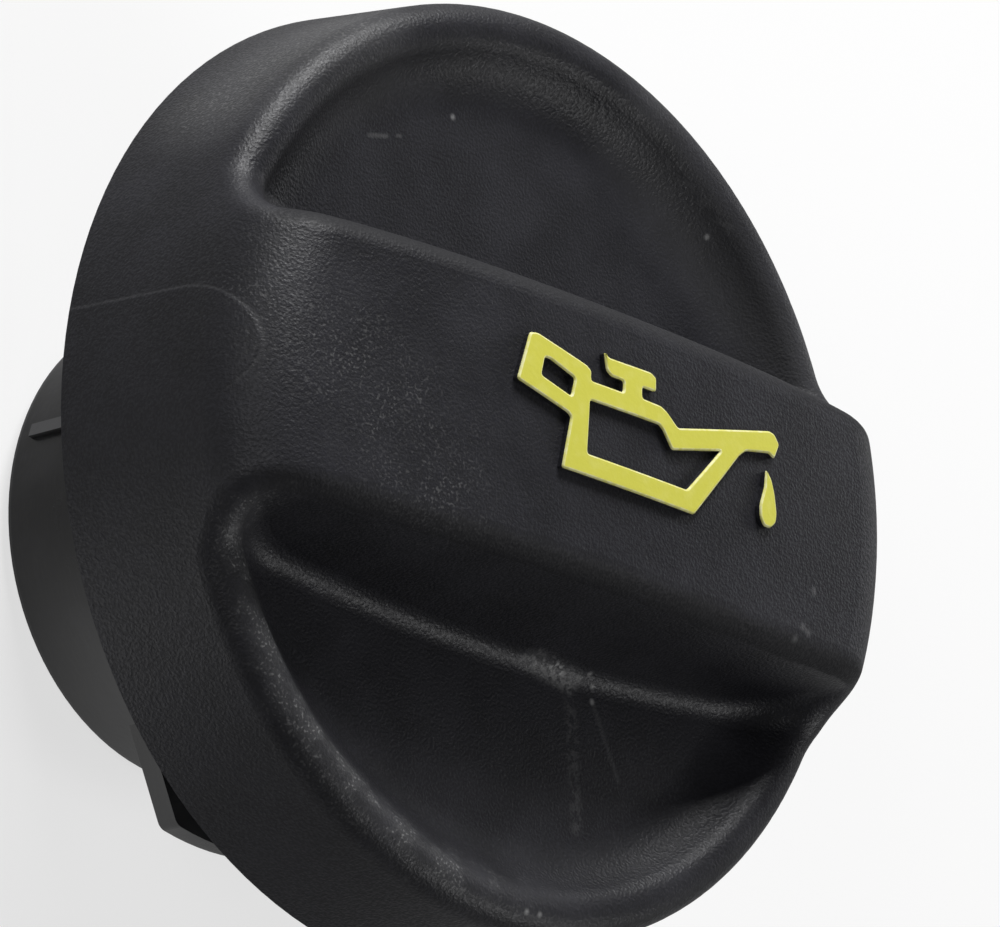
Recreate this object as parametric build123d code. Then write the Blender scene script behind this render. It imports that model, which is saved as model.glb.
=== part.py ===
from build123d import *
import os
from math import cos, radians, sin, sqrt, tan

# Oil filler cap for an engine: a moulded grip head, a bayonet plug joined under it, and a sealing ring.
# Millimetres. The cap stands on the plug's open end at z = 0, its grip faces up and its bar lies along X.

# Grip head, outside
head_radius = 31.0  # skirt, at its rear edge
skirt_draft = 6.0  # degrees that the skirt leans in towards the face
skirt_rear = 22.6  # rear edge of the skirt above the plug's end
grip_height = 17.6  # top of the bar above the skirt's rear edge
crown_radius = 180.0  # gentle dome of the bar's top
end_round = 6.0  # round-over from the skirt to the bar's top

# Finger recesses
floor_height = 7.8  # recess floor above the skirt's rear edge
floor_margin = 8.2  # flat floor ends this far inside the skirt
cove_radius = 5.2  # hollow that the floor rises in to the rim
cove_sweep = 50.0  # degrees of the cove that are drawn
foot_round = 1.6  # hollow along the foot of the bar
lip_round = 1.8  # rounded edge of the bar and the rim

# Grip bar
bar_top_half = 8.7  # half width at the crown, at mid length
bar_foot_half = 11.7  # half width at the recess floor, at mid length
bar_top_bow = 2000.0  # radius of the bar's sides at the crown, seen from above
bar_foot_bow = 160.0  # the same at the recess floor

# Grip head, inside
skirt_wall = 2.4
floor_wall = 2.2
bar_wall = 2.4
ring_wall = 1.8  # locating ring round the plug's flange, open where the bar is hollow
inner_round = 1.0

# Bayonet plug
plug_radius = 15.6
plug_wall = 2.2
plug_chamfer = 0.9
flange_radius = 23.5
flange_thickness = 1.8
flange_clearance = 0.2  # round the flange, inside the locating ring
plug_inner_round = 1.5
lug_count = 2
lug_radius = 21.2
lug_root_half = 8.2  # half width where the lug leaves the plug
lug_tip_half = 4.7  # half width at its outer edge
lug_thickness = 1.6
lug_height = 5.6  # lug's rear face above the plug's end
lug_corner = 0.9
rib_count = 2
rib_angle = 165.5  # first axial rib, degrees from +X
rib_width = 0.9
rib_height = 0.4
rib_start = 2.4  # above the plug's end
rib_clearance = 2.6  # under the sealing ring

# Sealing ring
seal_radius = 21.0
seal_thickness = 2.6
seal_clearance = 0.15  # round the plug
seal_round = 0.8

# Heights that follow
top_z = skirt_rear + grip_height
floor_z = skirt_rear + floor_height
ceiling_z = floor_z - floor_wall
flange_z = ceiling_z - flange_thickness
seal_z = flange_z - seal_thickness
beyond = 4.0  # cutting shapes reach this far past the surface they cut
touching = 0.001  # an edge this near to a face lies on it


def turned(outline):
    """Turns a closed outline of (radius, height) round the Z axis."""
    return revolve(Plane.XZ * make_face(outline), Axis.Z)


def domed_body(inset):
    """The head's outer form without recesses, all of it moved in by an inset."""
    dome = crown_radius - inset
    high = top_z - inset
    rear_radius = head_radius - inset
    edge_radius = rear_radius - grip_height * tan(radians(skirt_draft))

    def dome_height(radius):
        return high - dome + sqrt(dome**2 - radius**2)

    edge = (edge_radius, dome_height(edge_radius))
    middle = (edge_radius / 2, dome_height(edge_radius / 2))
    outline = Polyline((0, high), (0, skirt_rear), (rear_radius, skirt_rear), edge)
    outline += ThreePointArc(edge, middle, (0, high))
    section = make_face(outline)
    corner = section.vertices().sort_by_distance((*edge, 0))[0]
    return revolve(Plane.XZ * fillet(corner, end_round - inset), Axis.Z)


def recess_bowl():
    """Everything above the dished floor that both finger recesses share."""
    flat_radius = head_radius - floor_margin
    sweep = radians(cove_sweep)

    def on_cove(angle):
        return (flat_radius + cove_radius * sin(angle), floor_z + cove_radius * (1 - cos(angle)))

    end = on_cove(sweep)
    outside = head_radius + beyond
    outer = (outside, end[1] + (outside - end[0]) * tan(sweep))
    above = max(top_z, outer[1]) + beyond
    outline = Polyline((flat_radius, floor_z), (0, floor_z), (0, above), (outside, above), outer, end)
    outline += ThreePointArc((flat_radius, floor_z), on_cove(sweep / 2), end)
    return turned(outline)


def beside_bar(inset):
    """All the space on one side of the bowed, tapered bar, moved in by an inset."""
    reach = head_radius + beyond

    def section(z):
        share = (z - floor_z) / (top_z - floor_z)
        half = bar_foot_half + share * (bar_top_half - bar_foot_half) - inset
        bow = reach**2 / 2 * (1 / bar_foot_bow + share * (1 / bar_top_bow - 1 / bar_foot_bow))
        ends = [(-reach, bow - half), (reach, bow - half)]
        outline = ThreePointArc(ends[0], (0, -half), ends[1])
        outline += Polyline(ends[1], (reach, -2 * reach), (-reach, -2 * reach), ends[0])
        return Pos(0, 0, z) * make_face(outline)

    return loft([section(floor_z - floor_wall), section(top_z + beyond)], ruled=True)


def recess_cutter():
    """The half-moon space on one side of the bar, with the foot of the bar hollowed."""
    space = recess_bowl() & beside_bar(0)
    wall = max(space.faces(), key=lambda face: face.center().Y)
    edges = wall.edges().sort_by(Axis.Z)
    foot = [edge for edge in edges[:-1] if abs((edge @ 0.5).X) < head_radius]
    return fillet(foot, foot_round)


def lies_on(faces, edge):
    """Tells whether an edge runs along some of the faces."""
    points = [edge @ share for share in (0.25, 0.5, 0.75)]
    return all(min(face.distance_to(point) for face in faces) < touching for point in points)


def grip_head():
    body = domed_body(0)
    cutter = recess_cutter()
    cutters = [cutter, Rot(0, 0, 180) * cutter]
    head = body - cutters
    recess_faces = [face for side in cutters for face in side.faces()]
    lips = [edge for edge in head.edges() if lies_on(body.faces(), edge) and lies_on(recess_faces, edge)]
    head = fillet(lips, lip_round)

    opening = Pos(0, 0, skirt_rear) * Circle(head_radius - skirt_wall)
    cavity = extrude(opening, ceiling_z - skirt_rear, taper=skirt_draft)
    cavity = fillet(cavity.edges().group_by(Axis.Z)[-1], inner_round)
    ring_radius = flange_radius + flange_clearance
    ring = Circle(ring_radius + ring_wall) - Circle(ring_radius)
    head = head - cavity + Pos(0, 0, flange_z) * extrude(ring, flange_thickness)
    beside = beside_bar(bar_wall)
    bar_hollow = domed_body(bar_wall) - beside - Rot(0, 0, 180) * beside
    return head - bar_hollow


def bayonet_lug():
    root = plug_radius - plug_wall / 2
    outline = make_face(
        Polyline(
            (root, -lug_root_half),
            (lug_radius, -lug_tip_half),
            (lug_radius, lug_tip_half),
            (root, lug_root_half),
            close=True,
        )
    )
    return outline & Circle(lug_radius)


def bayonet_plug():
    tube = extrude(Circle(plug_radius), flange_z)
    tube = chamfer(tube.edges().group_by(Axis.Z)[0], plug_chamfer)
    plug = tube + Pos(0, 0, flange_z) * extrude(Circle(flange_radius), flange_thickness)
    bore = extrude(Circle(plug_radius - plug_wall), flange_z)
    plug -= fillet(bore.edges().group_by(Axis.Z)[-1], plug_inner_round)
    lug_plan = bayonet_lug()
    tips = lug_plan.vertices().sort_by_distance((0, 0, 0))[-2:]
    lug_plan = fillet(tips, lug_corner)
    lug = Pos(0, 0, lug_height) * extrude(lug_plan, lug_thickness)
    for number in range(lug_count):
        plug += Rot(0, 0, 90 + 360 / lug_count * number) * lug
    rib_plan = Pos(plug_radius, 0, rib_start) * Rectangle(2 * rib_height, rib_width)
    rib = extrude(rib_plan, seal_z - rib_clearance - rib_start)
    for number in range(rib_count):
        plug += Rot(0, 0, rib_angle + 360 / rib_count * number) * rib
    return plug


def sealing_ring():
    ring = Circle(seal_radius) - Circle(plug_radius + seal_clearance)
    seal = Pos(0, 0, seal_z) * extrude(ring, seal_thickness)
    rims = seal.edges().filter_by(GeomType.CIRCLE)
    outer = [edge for edge in rims if edge.radius > (seal_radius + plug_radius) / 2]
    return fillet(outer, seal_round)


os.makedirs("parts", exist_ok=True)
export_step(grip_head(), "parts/grip_head.step")
export_step(bayonet_plug(), "parts/bayonet_plug.step")
export_step(sealing_ring(), "parts/sealing_ring.step")
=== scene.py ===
from math import sqrt

import bmesh
import bpy
from mathutils import Matrix, Vector


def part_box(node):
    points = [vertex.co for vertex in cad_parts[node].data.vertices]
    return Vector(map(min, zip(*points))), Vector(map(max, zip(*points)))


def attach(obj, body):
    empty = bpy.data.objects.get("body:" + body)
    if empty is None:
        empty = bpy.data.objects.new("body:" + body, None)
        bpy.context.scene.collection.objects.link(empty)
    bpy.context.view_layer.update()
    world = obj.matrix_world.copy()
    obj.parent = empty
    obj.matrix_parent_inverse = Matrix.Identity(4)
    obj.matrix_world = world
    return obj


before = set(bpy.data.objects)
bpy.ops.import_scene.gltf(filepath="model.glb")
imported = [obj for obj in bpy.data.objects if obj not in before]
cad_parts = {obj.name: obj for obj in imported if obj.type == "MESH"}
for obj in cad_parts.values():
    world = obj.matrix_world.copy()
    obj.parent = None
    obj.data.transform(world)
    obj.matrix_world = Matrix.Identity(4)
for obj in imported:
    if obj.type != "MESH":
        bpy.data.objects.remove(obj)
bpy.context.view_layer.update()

# Grip head. One black injection moulding with a fine spark-eroded grain, gripped by the bar across its face.
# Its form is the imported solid. Here it gets its grain, the tool's witness line, and the marks of handling.
# The finishes take all their sizes and places in millimetres.

mm = 0.001


class Value:
    """One output of a finish's nodes. Sums and products of values add Math nodes."""

    def __init__(self, finish, socket):
        self.finish = finish
        self.socket = socket

    def maths(self, operation, *others):
        return self.finish.maths(operation, self, *others)

    def __add__(self, other):
        return self.maths("ADD", other)

    def __sub__(self, other):
        return self.maths("SUBTRACT", other)

    def __mul__(self, other):
        return self.maths("MULTIPLY", other)

    def __truediv__(self, other):
        return self.maths("DIVIDE", other)

    def __radd__(self, other):
        return self.finish.maths("ADD", other, self)

    def __rsub__(self, other):
        return self.finish.maths("SUBTRACT", other, self)

    def __rmul__(self, other):
        return self.finish.maths("MULTIPLY", other, self)

    def __rtruediv__(self, other):
        return self.finish.maths("DIVIDE", other, self)

    def __abs__(self):
        return self.maths("ABSOLUTE")

    def rise(self, start, end):
        """Goes smoothly from 0 to 1 while the value goes from start to end."""
        settings = {"interpolation_type": "SMOOTHSTEP"}
        sockets = {"Value": self, "From Min": start, "From Max": end}
        return self.finish.node("ShaderNodeMapRange", settings, sockets)

    def near(self, middle, half_width):
        """Is 1 where the value is at the middle and 0 from half a width away."""
        return 1 - abs(self - middle).rise(0, half_width)


class Finish:
    """The material of one kind of surface, built from nodes round one Principled shader."""

    def __init__(self, name):
        self.material = bpy.data.materials.new(name)
        self.material.use_nodes = True
        self.tree = self.material.node_tree
        self.shader = self.tree.nodes["Principled BSDF"]
        metres = self.node("ShaderNodeTexCoord", output="Object")
        self.place = self.vectors("SCALE", metres, Scale=1 / mm)
        self.x, self.y, self.z = (self.part(self.place, axis) for axis in ("X", "Y", "Z"))

    def node(self, kind, settings={}, sockets={}, output=0):
        made = self.tree.nodes.new(kind)
        for name, setting in settings.items():
            setattr(made, name, setting)
        for name, value in sockets.items():
            self.feed(made.inputs[name], value)
        return Value(self, made.outputs[output])

    def feed(self, socket, value):
        if isinstance(value, Value):
            self.tree.links.new(value.socket, socket)
        else:
            socket.default_value = value

    def maths(self, operation, *values):
        return self.node("ShaderNodeMath", {"operation": operation}, dict(enumerate(values)))

    def vectors(self, operation, *values, output=0, **sockets):
        sockets = {**dict(enumerate(values)), **sockets}
        return self.node("ShaderNodeVectorMath", {"operation": operation}, sockets, output)

    def part(self, vector, axis):
        """One of the three numbers of a vector."""
        return self.node("ShaderNodeSeparateXYZ", {}, {0: vector}, axis)

    def from_axis(self):
        """The distance from the cap's own axis."""
        return self.maths("SQRT", self.x * self.x + self.y * self.y)

    def speckle(self, size, detail=2.0, roughness=0.5, stretch=None):
        """Noise whose patches are about as wide as the size."""
        place = self.vectors("MULTIPLY", self.place, stretch) if stretch else self.place
        sockets = {"Vector": place, "Scale": 1 / size, "Detail": detail, "Roughness": roughness}
        return self.node("ShaderNodeTexNoise", {}, sockets, "Fac")

    def spot(self, point, radius):
        """Is 1 at a point and 0 from the radius on."""
        return 1 - self.vectors("DISTANCE", self.place, point, output="Value").rise(0, radius)

    def stroke(self, first, last, half_width):
        """Is 1 on the line between two points and 0 from half a width away."""
        along = Vector(last) - Vector(first)
        away = self.vectors("SUBTRACT", self.place, first)
        share = self.vectors("DOT_PRODUCT", away, along / along.length_squared, output="Value")
        share = self.node("ShaderNodeClamp", {}, {"Value": share})
        nearest = self.vectors("SCALE", along, Scale=share)
        return 1 - self.vectors("DISTANCE", away, nearest, output="Value").rise(0, half_width)

    def grained_by(self, height, depth):
        """A normal that follows a height, which is 1 at the full depth."""
        return self.node("ShaderNodeBump", {}, {"Strength": 1.0, "Distance": depth * mm, "Height": height})

    def tint(self, share, first, second):
        """A colour that goes from the first to the second."""
        sockets = {0: share, 6: first, 7: second}
        return self.node("ShaderNodeMix", {"data_type": "RGBA"}, sockets, 2)

    def set(self, **sockets):
        for name, value in sockets.items():
            self.feed(self.shader.inputs[name.replace("_", " ")], value)


head_black = (0.0085, 0.0085, 0.0112, 1)
head_dusty = (0.0245, 0.0245, 0.0305, 1)
head_scuffed_and_highlight_grey = (0.32, 0.32, 0.32, 1)
grain_depth = 0.052
coarse_share = 0.3
cloud_dust = 0.5
pit_dust = 0.45

grained = Finish("grained_black_plastic")
clouds = grained.speckle(5.0, detail=3.0)
grain = grained.speckle(0.20, detail=1.0)
coarse = grained.speckle(0.7, detail=1.0)
pits = grain.rise(0.38, 0.66)

# Outline of the tool insert at the end of the bar: an arch on the skirt, proud by about the grain's depth,
# with a faint painted highlight along its edge
arch_middle = -0.15
arch_half_width = 4.0
arch_spring = 31.0
arch_rise = 5.8
insert_raise = 1.1
insert_edge_highlight_strength = 0.05
arch_across = (grained.y - arch_middle) / arch_half_width
arch_up = grained.maths("MAXIMUM", grained.z - arch_spring, 0) / arch_rise
arch = grained.maths("SQRT", arch_across * arch_across + arch_up * arch_up)
on_left_end = (0 - grained.x).rise(20, 24) * grained.y.rise(-4.2, -1.8)
insert_step = (1 - arch.rise(0.97, 1.03)) * on_left_end
# The pale line round the arch is a painted highlight
insert_edge_highlight = arch.near(1.02, 0.035) * on_left_end
marks_and_highlights = insert_edge_highlight * insert_edge_highlight_strength

# Gate scar at the foot of the bar and the flow lines that run from it over the floor of the recess.
# The strength of a mark, here and for the painted highlights below, is its share of the scuffed grey.
scar_haze = 0.12
scar_strength = 0.4
scar_core_strength = 0.7
flow_strength = 0.12
fine_flow_strength = 0.07
broken = grained.speckle(0.45).rise(0.42, 0.62)
scar = grained.stroke((2.3, -11.6, 31.0), (6.2, -12.2, 30.5), half_width=1.3)
scar_core = grained.stroke((4.2, -11.6, 31.0), (5.2, -11.8, 30.8), half_width=0.5)
flow_line = grained.stroke((6.5, -13.2, 30.4), (7.6, -21.5, 30.4), half_width=0.9)
fine_flow_line = grained.stroke((8.5, -13.0, 30.4), (11.2, -17.6, 30.4), half_width=0.35)
marks_and_highlights = marks_and_highlights + scar * (scar_haze + broken * scar_strength) + scar_core * broken * scar_core_strength
marks_and_highlights = marks_and_highlights + flow_line * broken * flow_strength + fine_flow_line * fine_flow_strength

# Small nicks in both recesses, on the rim of the lower one and, fainter, at the right end of the bar
nick_radius = 0.32
nick_strength = 0.6
faint_nick_radius = 0.45
faint_nick_strength = 0.2
nicks = [
    (7.63, -11.51, 30.96), (8.38, -12.1, 30.5), (8.51, -13.05, 30.4), (0.99, -28.6, 32.83),
    (2.15, -28.55, 32.83), (16.37, 20.11, 31.46), (-6.48, 21.88, 30.4),
]
faint_nicks = [(17.9, -8.1, 39.0), (19.1, -7.4, 39.02), (18.5, -7.2, 39.08), (19.46, -4.55, 39.08)]
for point in nicks:
    marks_and_highlights = marks_and_highlights + grained.spot(point, nick_radius) * nick_strength
for point in faint_nicks:
    marks_and_highlights = marks_and_highlights + grained.spot(point, faint_nick_radius) * faint_nick_strength

# A scuff in two dashes on the floor of the upper recess. Along its right side a broken pale streak is a
# painted highlight on the cove, and a broad pale band is painted light on the cove, which faces away from the
# lamp
scuff_strength = 0.16
cove_highlight_strength = 0.07
cove_light_strength = 0.085
long_scuff = grained.stroke((-13.8, 18.5, 30.41), (-12.2, 18.9, 30.4), half_width=0.24)
short_scuff = grained.stroke((-11.3, 19.2, 30.4), (-11.0, 19.25, 30.4), half_width=0.20)
# Painted highlight and painted light on the cove of the upper recess
cove_painted_highlight = grained.stroke((12.0, 23.8, 32.16), (17.2, 20.8, 32.4), half_width=0.7)
cove_painted_highlight = cove_painted_highlight * grained.speckle(0.9).rise(0.4, 0.6)
cove_painted_light = grained.stroke((9, 25, 32), (24, 13, 32.5), half_width=5.0)
marks_and_highlights = marks_and_highlights + (long_scuff + short_scuff) * scuff_strength
marks_and_highlights = marks_and_highlights + cove_painted_highlight * cove_highlight_strength + cove_painted_light * cove_light_strength

# Pale grain where hands rub, on the rim of the lower recess and the bar's left end, mixed there with painted
# sheen and painted glints. The skirt's shoulder carries painted sheen and painted glints only
rim_radius = 27.7
rim_half_width = 2.6
rim_wear_and_sheen_level = 0.07
rim_blotch = 0.08
rim_glint_level = 0.5
end_wear_and_sheen_level = 0.008
end_glint_level = 0.07
end_blotch_glint_level = 0.14
shoulder_sheen_level = 0.13
shoulder_glint_level = 0.20
# Bright specks in the colour are painted glints of the grain
painted_glints = grained.speckle(0.19, detail=0.0).rise(0.57, 0.75)
blotches = grained.speckle(2.2, detail=3.0, roughness=0.65).rise(0.42, 0.62)
rim_wear_and_sheen = grained.from_axis().near(rim_radius, rim_half_width)
rim_wear_and_sheen = rim_wear_and_sheen * (0 - grained.y).rise(6, 12) * (10 - grained.x).rise(0, 24)
end_wear_and_sheen = grained.stroke((-27, 3, 37), (-15, -6, 39.3), half_width=7.0)
shoulder_painted_sheen = grained.stroke((-24.2, 18.2, 28), (-17, 24.5, 30), half_width=6.5)
marks_and_highlights = marks_and_highlights + rim_wear_and_sheen * (rim_wear_and_sheen_level + blotches * (rim_blotch + painted_glints * rim_glint_level))
marks_and_highlights = marks_and_highlights + end_wear_and_sheen * (end_wear_and_sheen_level + painted_glints * (end_glint_level + blotches * end_blotch_glint_level))
marks_and_highlights = marks_and_highlights + shoulder_painted_sheen * (shoulder_sheen_level + painted_glints * shoulder_glint_level)

# Rolled lips of the bar, which are duller than its top and carry painted shade: their darker colour stands
# for the shade of a broader roll
lip_painted_shade = 0.5
lip_dulling = 0.22
facing = grained.node("ShaderNodeNewGeometry", output="Normal")
sideways = abs(grained.part(facing, "Y")).rise(0.06, 0.6)
upwards = grained.part(facing, "Z").rise(0.25, 0.4)
bar_lip = sideways * upwards * grained.z.rise(35.5, 37)

# The share taken off at the bar's lips is painted shade
dust_and_painted_shade_share = clouds.rise(0.30, 0.75) * cloud_dust + pits * pit_dust - bar_lip * lip_painted_shade
dust_and_painted_shade = grained.tint(dust_and_painted_shade_share, head_black, head_dusty)
grained.set(
    Base_Color=grained.tint(marks_and_highlights, dust_and_painted_shade, head_scuffed_and_highlight_grey),
    Roughness=0.49 + clouds * 0.08 - pits * 0.10 + bar_lip * lip_dulling,
    Specular_IOR_Level=0.36,
    Normal=grained.grained_by(grain + coarse * coarse_share + insert_step * insert_raise, grain_depth),
)
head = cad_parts["grip_head"]
head.data.materials.clear()
head.data.materials.append(grained.material)

# Oil-can sign. It stands up out of the head's own moulding, and its flat top is printed yellow.
# The print is thin and paler on the rounded edge, and the sides keep the black of the plastic.

crown_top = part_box("grip_head")[1].z
crown_radius = 180.0 * mm
sign_raise = 0.5 * mm
sign_sink = 0.3 * mm
sign_round = 0.14 * mm

# Outlines in millimetres, seen from above, with the bar along X
corner_radius = 0.22
can_outline = [
    (-8.75, 4.95), (-8.10, 5.06), (-3.80, 4.07), (-3.40, 3.80), (-3.41, 3.16), (-0.50, 3.16), (-0.50, 3.93),
    (-1.62, 3.93), (-2.05, 4.20), (-2.30, 5.36), (-1.85, 5.08), (1.97, 5.14), (2.45, 4.90), (2.48, 3.97),
    (1.20, 3.97), (1.20, 3.24), (2.97, 3.20), (3.55, 2.96), (4.62, 2.19), (13.60, 4.45), (14.13, 4.39),
    (14.68, 3.80), (14.19, 2.73), (13.65, 2.98), (11.30, 2.48), (10.62, 1.96), (6.46, -3.00), (-5.60, -3.00),
    (-5.03, 0.38), (-5.31, 0.60), (-9.69, 1.68),
]
handle_hole = [(-7.45, 3.62), (-7.00, 3.65), (-4.81, 2.96), (-5.07, 1.72), (-7.70, 2.42)]
can_inside = [
    (-3.44, 1.90), (2.84, 1.95), (3.22, 1.72), (4.13, 0.62), (8.80, 1.80), (5.69, -1.58), (-3.50, -1.58),
]
oil_drop = [
    (13.39, 1.85), (13.30, 0.60), (12.89, -0.68), (12.98, -1.45), (13.39, -1.93), (14.01, -1.92),
    (14.55, -1.45), (14.62, -0.80), (14.32, 0.45), (13.95, 1.30),
]


def with_round_corners(points, radius):
    """Gives each corner of an outline a small arc that takes up to a third of the shorter side."""
    rounded = []
    for before, corner, after in zip(points[-1:] + points[:-1], points, points[1:] + points[:1]):
        corner = Vector(corner)
        ways = [Vector(before) - corner, Vector(after) - corner]
        reach = min(radius, *(way.length / 3 for way in ways))
        first, last = (corner + way.normalized() * reach for way in ways)
        for share in (0.0, 0.35, 0.65, 1.0):
            rounded.append((1 - share) ** 2 * first + 2 * share * (1 - share) * corner + share**2 * last)
    return rounded


sign_top = (sign_raise + sign_sink) / 2
sign_curve = bpy.data.curves.new("oil_can_sign", "CURVE")
sign_curve.dimensions = "2D"
sign_curve.fill_mode = "BOTH"
sign_curve.extrude = sign_top - sign_round
sign_curve.bevel_depth = sign_round
sign_curve.bevel_resolution = 2
sign_curve.offset = -sign_round
for outline in (can_outline, handle_hole, can_inside, oil_drop):
    corners = with_round_corners(outline, corner_radius)
    spline = sign_curve.splines.new("POLY")
    spline.points.add(len(corners) - 1)
    spline.use_cyclic_u = True
    for point, (x, y) in zip(spline.points, corners):
        point.co = (x * mm, y * mm, 0, 1)
drawn = bpy.data.objects.new("oil_can_outline", sign_curve)
bpy.context.scene.collection.objects.link(drawn)
bpy.context.view_layer.update()
sign_mesh = bpy.data.meshes.new_from_object(drawn.evaluated_get(bpy.context.evaluated_depsgraph_get()))
bpy.data.objects.remove(drawn)

sign_yellow = (0.70, 0.675, 0.085, 1)
sign_pale = (0.75, 0.725, 0.15, 1)
sign_edge_yellow = (0.79, 0.76, 0.20, 1)
sign_edge_pale = (0.86, 0.84, 0.42, 1)
print_roughness = 0.5
print_grain = 0.3
print_grain_depth = 0.012

printed = Finish("yellow_print")
worn = printed.speckle(0.8, detail=3.0).rise(0.45, 0.75)
printed.set(
    Base_Color=printed.tint(worn * 0.5, sign_yellow, sign_pale),
    Roughness=print_roughness + worn * 0.1,
    Normal=printed.grained_by(printed.speckle(print_grain), print_grain_depth),
)
thin_print = Finish("thin_yellow_print")
patchy = thin_print.speckle(0.5).rise(0.35, 0.65)
thin_print.set(
    Base_Color=thin_print.tint(patchy, sign_edge_pale, sign_edge_yellow),
    Roughness=print_roughness + patchy * 0.1,
    Normal=thin_print.grained_by(thin_print.speckle(print_grain), print_grain_depth),
)
sign_mesh.materials.clear()
for finish in (printed, thin_print, grained):
    sign_mesh.materials.append(finish.material)
printed_slot, thin_slot, bare_slot = range(3)

# Slices both ways let the flat sign bend over the crown of the bar
slice_step = 1.0 * mm
slices = range(-12, 18)
weld_distance = 0.002 * mm
printed_depth = sign_round * 0.02
thin_depth = sign_round * 0.75
shaping = bmesh.new()
shaping.from_mesh(sign_mesh)
for axis in (Vector((1, 0, 0)), Vector((0, 1, 0))):
    for number in slices:
        everything = shaping.verts[:] + shaping.edges[:] + shaping.faces[:]
        bmesh.ops.bisect_plane(shaping, geom=everything, plane_co=axis * number * slice_step, plane_no=axis)
bmesh.ops.remove_doubles(shaping, verts=shaping.verts, dist=weld_distance)
for face in shaping.faces:
    depth = sign_top - face.calc_center_median().z
    if depth < printed_depth:
        face.material_index = printed_slot
    elif depth < thin_depth:
        face.material_index = thin_slot
    else:
        face.material_index = bare_slot
for vertex in shaping.verts:
    across = vertex.co.x**2 + vertex.co.y**2
    dome = crown_top - crown_radius + sqrt(crown_radius**2 - across)
    vertex.co.z += dome + (sign_raise - sign_sink) / 2
shaping.to_mesh(sign_mesh)
shaping.free()

sign = bpy.data.objects.new("oil_can_sign", sign_mesh)
bpy.context.scene.collection.objects.link(sign)
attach(sign, "root")

# Bayonet plug. A smoother black moulding joined under the head, with lugs that turn behind the filler neck.
# Sliding in the neck has left it with fine marks round its outside and rubbed its ribs. Its lead-in edge has
# painted shade below a thin painted highlight.

plug_black = (0.007, 0.007, 0.0078, 1)
plug_grey = (0.026, 0.026, 0.028, 1)
plug_rubbed_and_highlight = (0.085, 0.085, 0.088, 1)
plug_radius = 15.6
rib_start = 2.0
rib_end = 22.0
lead_in_height = 0.9
plug_grain_depth = 0.008
round_lines = (1, 1, 12)

satin = Finish("satin_black_plastic")
film = satin.speckle(4.0, detail=4.0)
rubbed = satin.speckle(1.5, detail=3.0, roughness=0.6, stretch=round_lines)
proud = satin.from_axis() - plug_radius
on_rib = proud.rise(0.1, 0.3) * (1 - proud.rise(0.5, 0.7))
rib_top = on_rib * satin.z.rise(rib_start, rib_start + 0.3) * (1 - satin.z.rise(rib_end, rib_end + 0.5))
# The lead-in band is painted darker as painted shade, and a thin line above it is painted lighter as a
# painted highlight
lead_in = 1 - satin.z.rise(lead_in_height - 0.15, lead_in_height + 0.05)
lead_in_painted_highlight = satin.z.near(lead_in_height + 0.1, 0.22)
filmed_share = film.rise(0.4, 0.7) * 0.5 + rubbed.rise(0.5, 0.7) * 0.3 + lead_in_painted_highlight * 0.9 - lead_in * 0.4
filmed = satin.tint(filmed_share, plug_black, plug_grey)
satin.set(
    Base_Color=satin.tint(rib_top * 0.9 + lead_in_painted_highlight * 0.4, filmed, plug_rubbed_and_highlight),
    Roughness=0.24 + film * 0.10 + lead_in * 0.2,
    Normal=satin.grained_by(satin.speckle(0.5) + rubbed * 0.4, plug_grain_depth),
)
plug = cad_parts["bayonet_plug"]
plug.data.materials.clear()
plug.data.materials.append(satin.material)

# Sealing ring. A moulded ring of black rubber that is pushed over the plug, up to its flange.
# It is squeezed on the rim of the filler neck, and its surface has a dull grey bloom.

rubber_black = (0.016, 0.016, 0.016, 1)
rubber_grey = (0.035, 0.034, 0.033, 1)
rubber_grain_depth = 0.012

rubber = Finish("black_seal_rubber")
bloom = rubber.speckle(2.5, detail=4.0)
rubber.set(
    Base_Color=rubber.tint(bloom.rise(0.4, 0.75), rubber_black, rubber_grey),
    Roughness=0.62 + bloom * 0.15,
    Normal=rubber.grained_by(rubber.speckle(0.25), rubber_grain_depth),
)
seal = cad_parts["sealing_ring"]
seal.data.materials.clear()
seal.data.materials.append(rubber.material)

# Floor. A plain pale surface that the cap stands on, and no part of it.
# A glow that only the camera sees brings it near to white and leaves the cap's shadow on it.
# Glossy surfaces see a weaker glow, with a bright patch at the lower left of the picture.

floor_half = 3.0
floor_grey = (0.32, 0.32, 0.32, 1)
no_glow = (0, 0, 0, 1)
full_glow = (1, 1, 1, 1)
camera_glow = 0.66
gloss_glow = 0.13
patch_glow = 0.87

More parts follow.
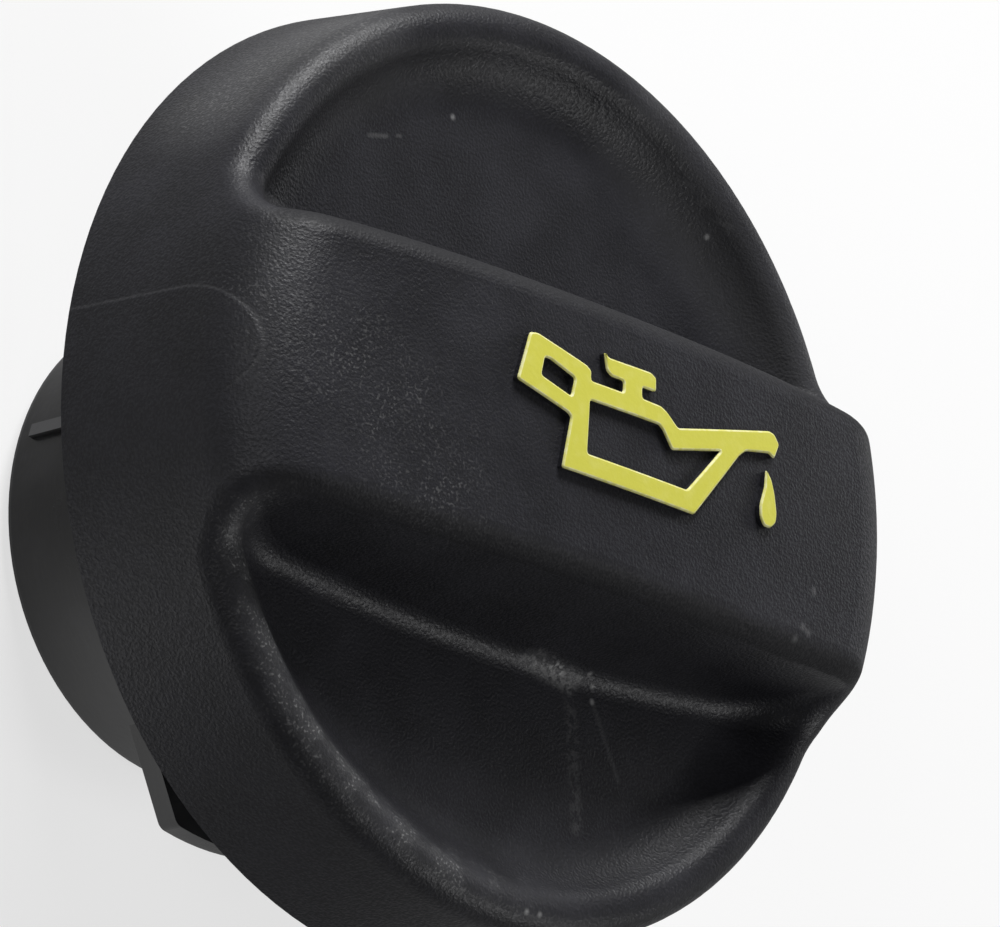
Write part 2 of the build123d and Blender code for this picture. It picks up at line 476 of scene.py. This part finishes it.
floor_corners = [(x * floor_half, y * floor_half, 0) for x, y in ((-1, -1), (1, -1), (1, 1), (-1, 1))]
floor_mesh = bpy.data.meshes.new("floor")
floor_mesh.from_pydata(floor_corners, [], [(0, 1, 2, 3)])
floor = bpy.data.objects.new("floor", floor_mesh)
bpy.context.scene.collection.objects.link(floor)
pale = Finish("pale_floor")
to_camera = pale.node("ShaderNodeLightPath", output="Is Camera Ray")
to_gloss = pale.node("ShaderNodeLightPath", output="Is Glossy Ray")
bright_patch = pale.stroke((-16, -24, 0), (-85, -40, 0), half_width=26)
glow = to_camera * camera_glow + to_gloss * (gloss_glow + bright_patch * patch_glow)
pale.set(
    Base_Color=floor_grey,
    Roughness=0.9,
    Emission_Color=pale.tint(glow, no_glow, full_glow),
    Emission_Strength=1.0,
)
floor_mesh.materials.append(pale.material)

# Light. A large soft lamp above the picture gives most of it. Weaker ones stand on the camera's side, at the
# lower right of the picture and behind the cap on the right, in a room that is pale all round.

cap_middle = (0, 0, 0.03)
room_strength = 0.07


def soft_lamp(name, place, width, height, power):
    """A rectangular lamp that faces the cap, its size in metres and its power in watts."""
    lamp = bpy.data.lights.new(name, "AREA")
    lamp.shape = "RECTANGLE"
    lamp.size = width
    lamp.size_y = height
    lamp.energy = power
    holder = bpy.data.objects.new(name, lamp)
    holder.location = place
    holder.rotation_euler = (Vector(cap_middle) - Vector(place)).to_track_quat("-Z", "Y").to_euler()
    bpy.context.scene.collection.objects.link(holder)


soft_lamp("top_lamp", (-0.05, 0.78, 0.50), width=0.55, height=0.36, power=10.2)
soft_lamp("front_lamp", (-0.68, 0.02, 0.45), width=0.40, height=0.30, power=1.0)
soft_lamp("right_lamp", (0.60, -0.45, 0.55), width=0.40, height=0.30, power=2.1)
soft_lamp("back_lamp", (0.90, 0.35, 0.25), width=0.40, height=0.30, power=0.6)

room = bpy.data.worlds.new("pale_room")
bpy.context.scene.world = room
room.use_nodes = True
room_light = room.node_tree.nodes["Background"]
room_light.inputs["Color"].default_value = (1, 1, 1, 1)
room_light.inputs["Strength"].default_value = room_strength

# Camera, as the photograph was taken: with a long lens from above the left end of the bar, and turned so that
# the bar runs across the picture.

camera_place = Vector((-299.53, -131.53, 325.36)) * mm
picture_right = Vector((0.69168, 0.04517, 0.72080)).normalized()
view_back = Vector((-0.67891, -0.29971, 0.67026)).normalized()
picture_up = view_back.cross(picture_right).normalized()

camera_data = bpy.data.cameras.new("photo_camera")
camera_data.sensor_width = 36.0
camera_data.lens = 252.0
camera = bpy.data.objects.new("photo_camera", camera_data)
turn = Matrix((picture_right, picture_up, view_back)).transposed().to_4x4()
camera.matrix_world = Matrix.Translation(camera_place) @ turn
bpy.context.scene.collection.objects.link(camera)
bpy.context.scene.camera = camera
bpy.context.scene.view_settings.view_transform = "Standard"
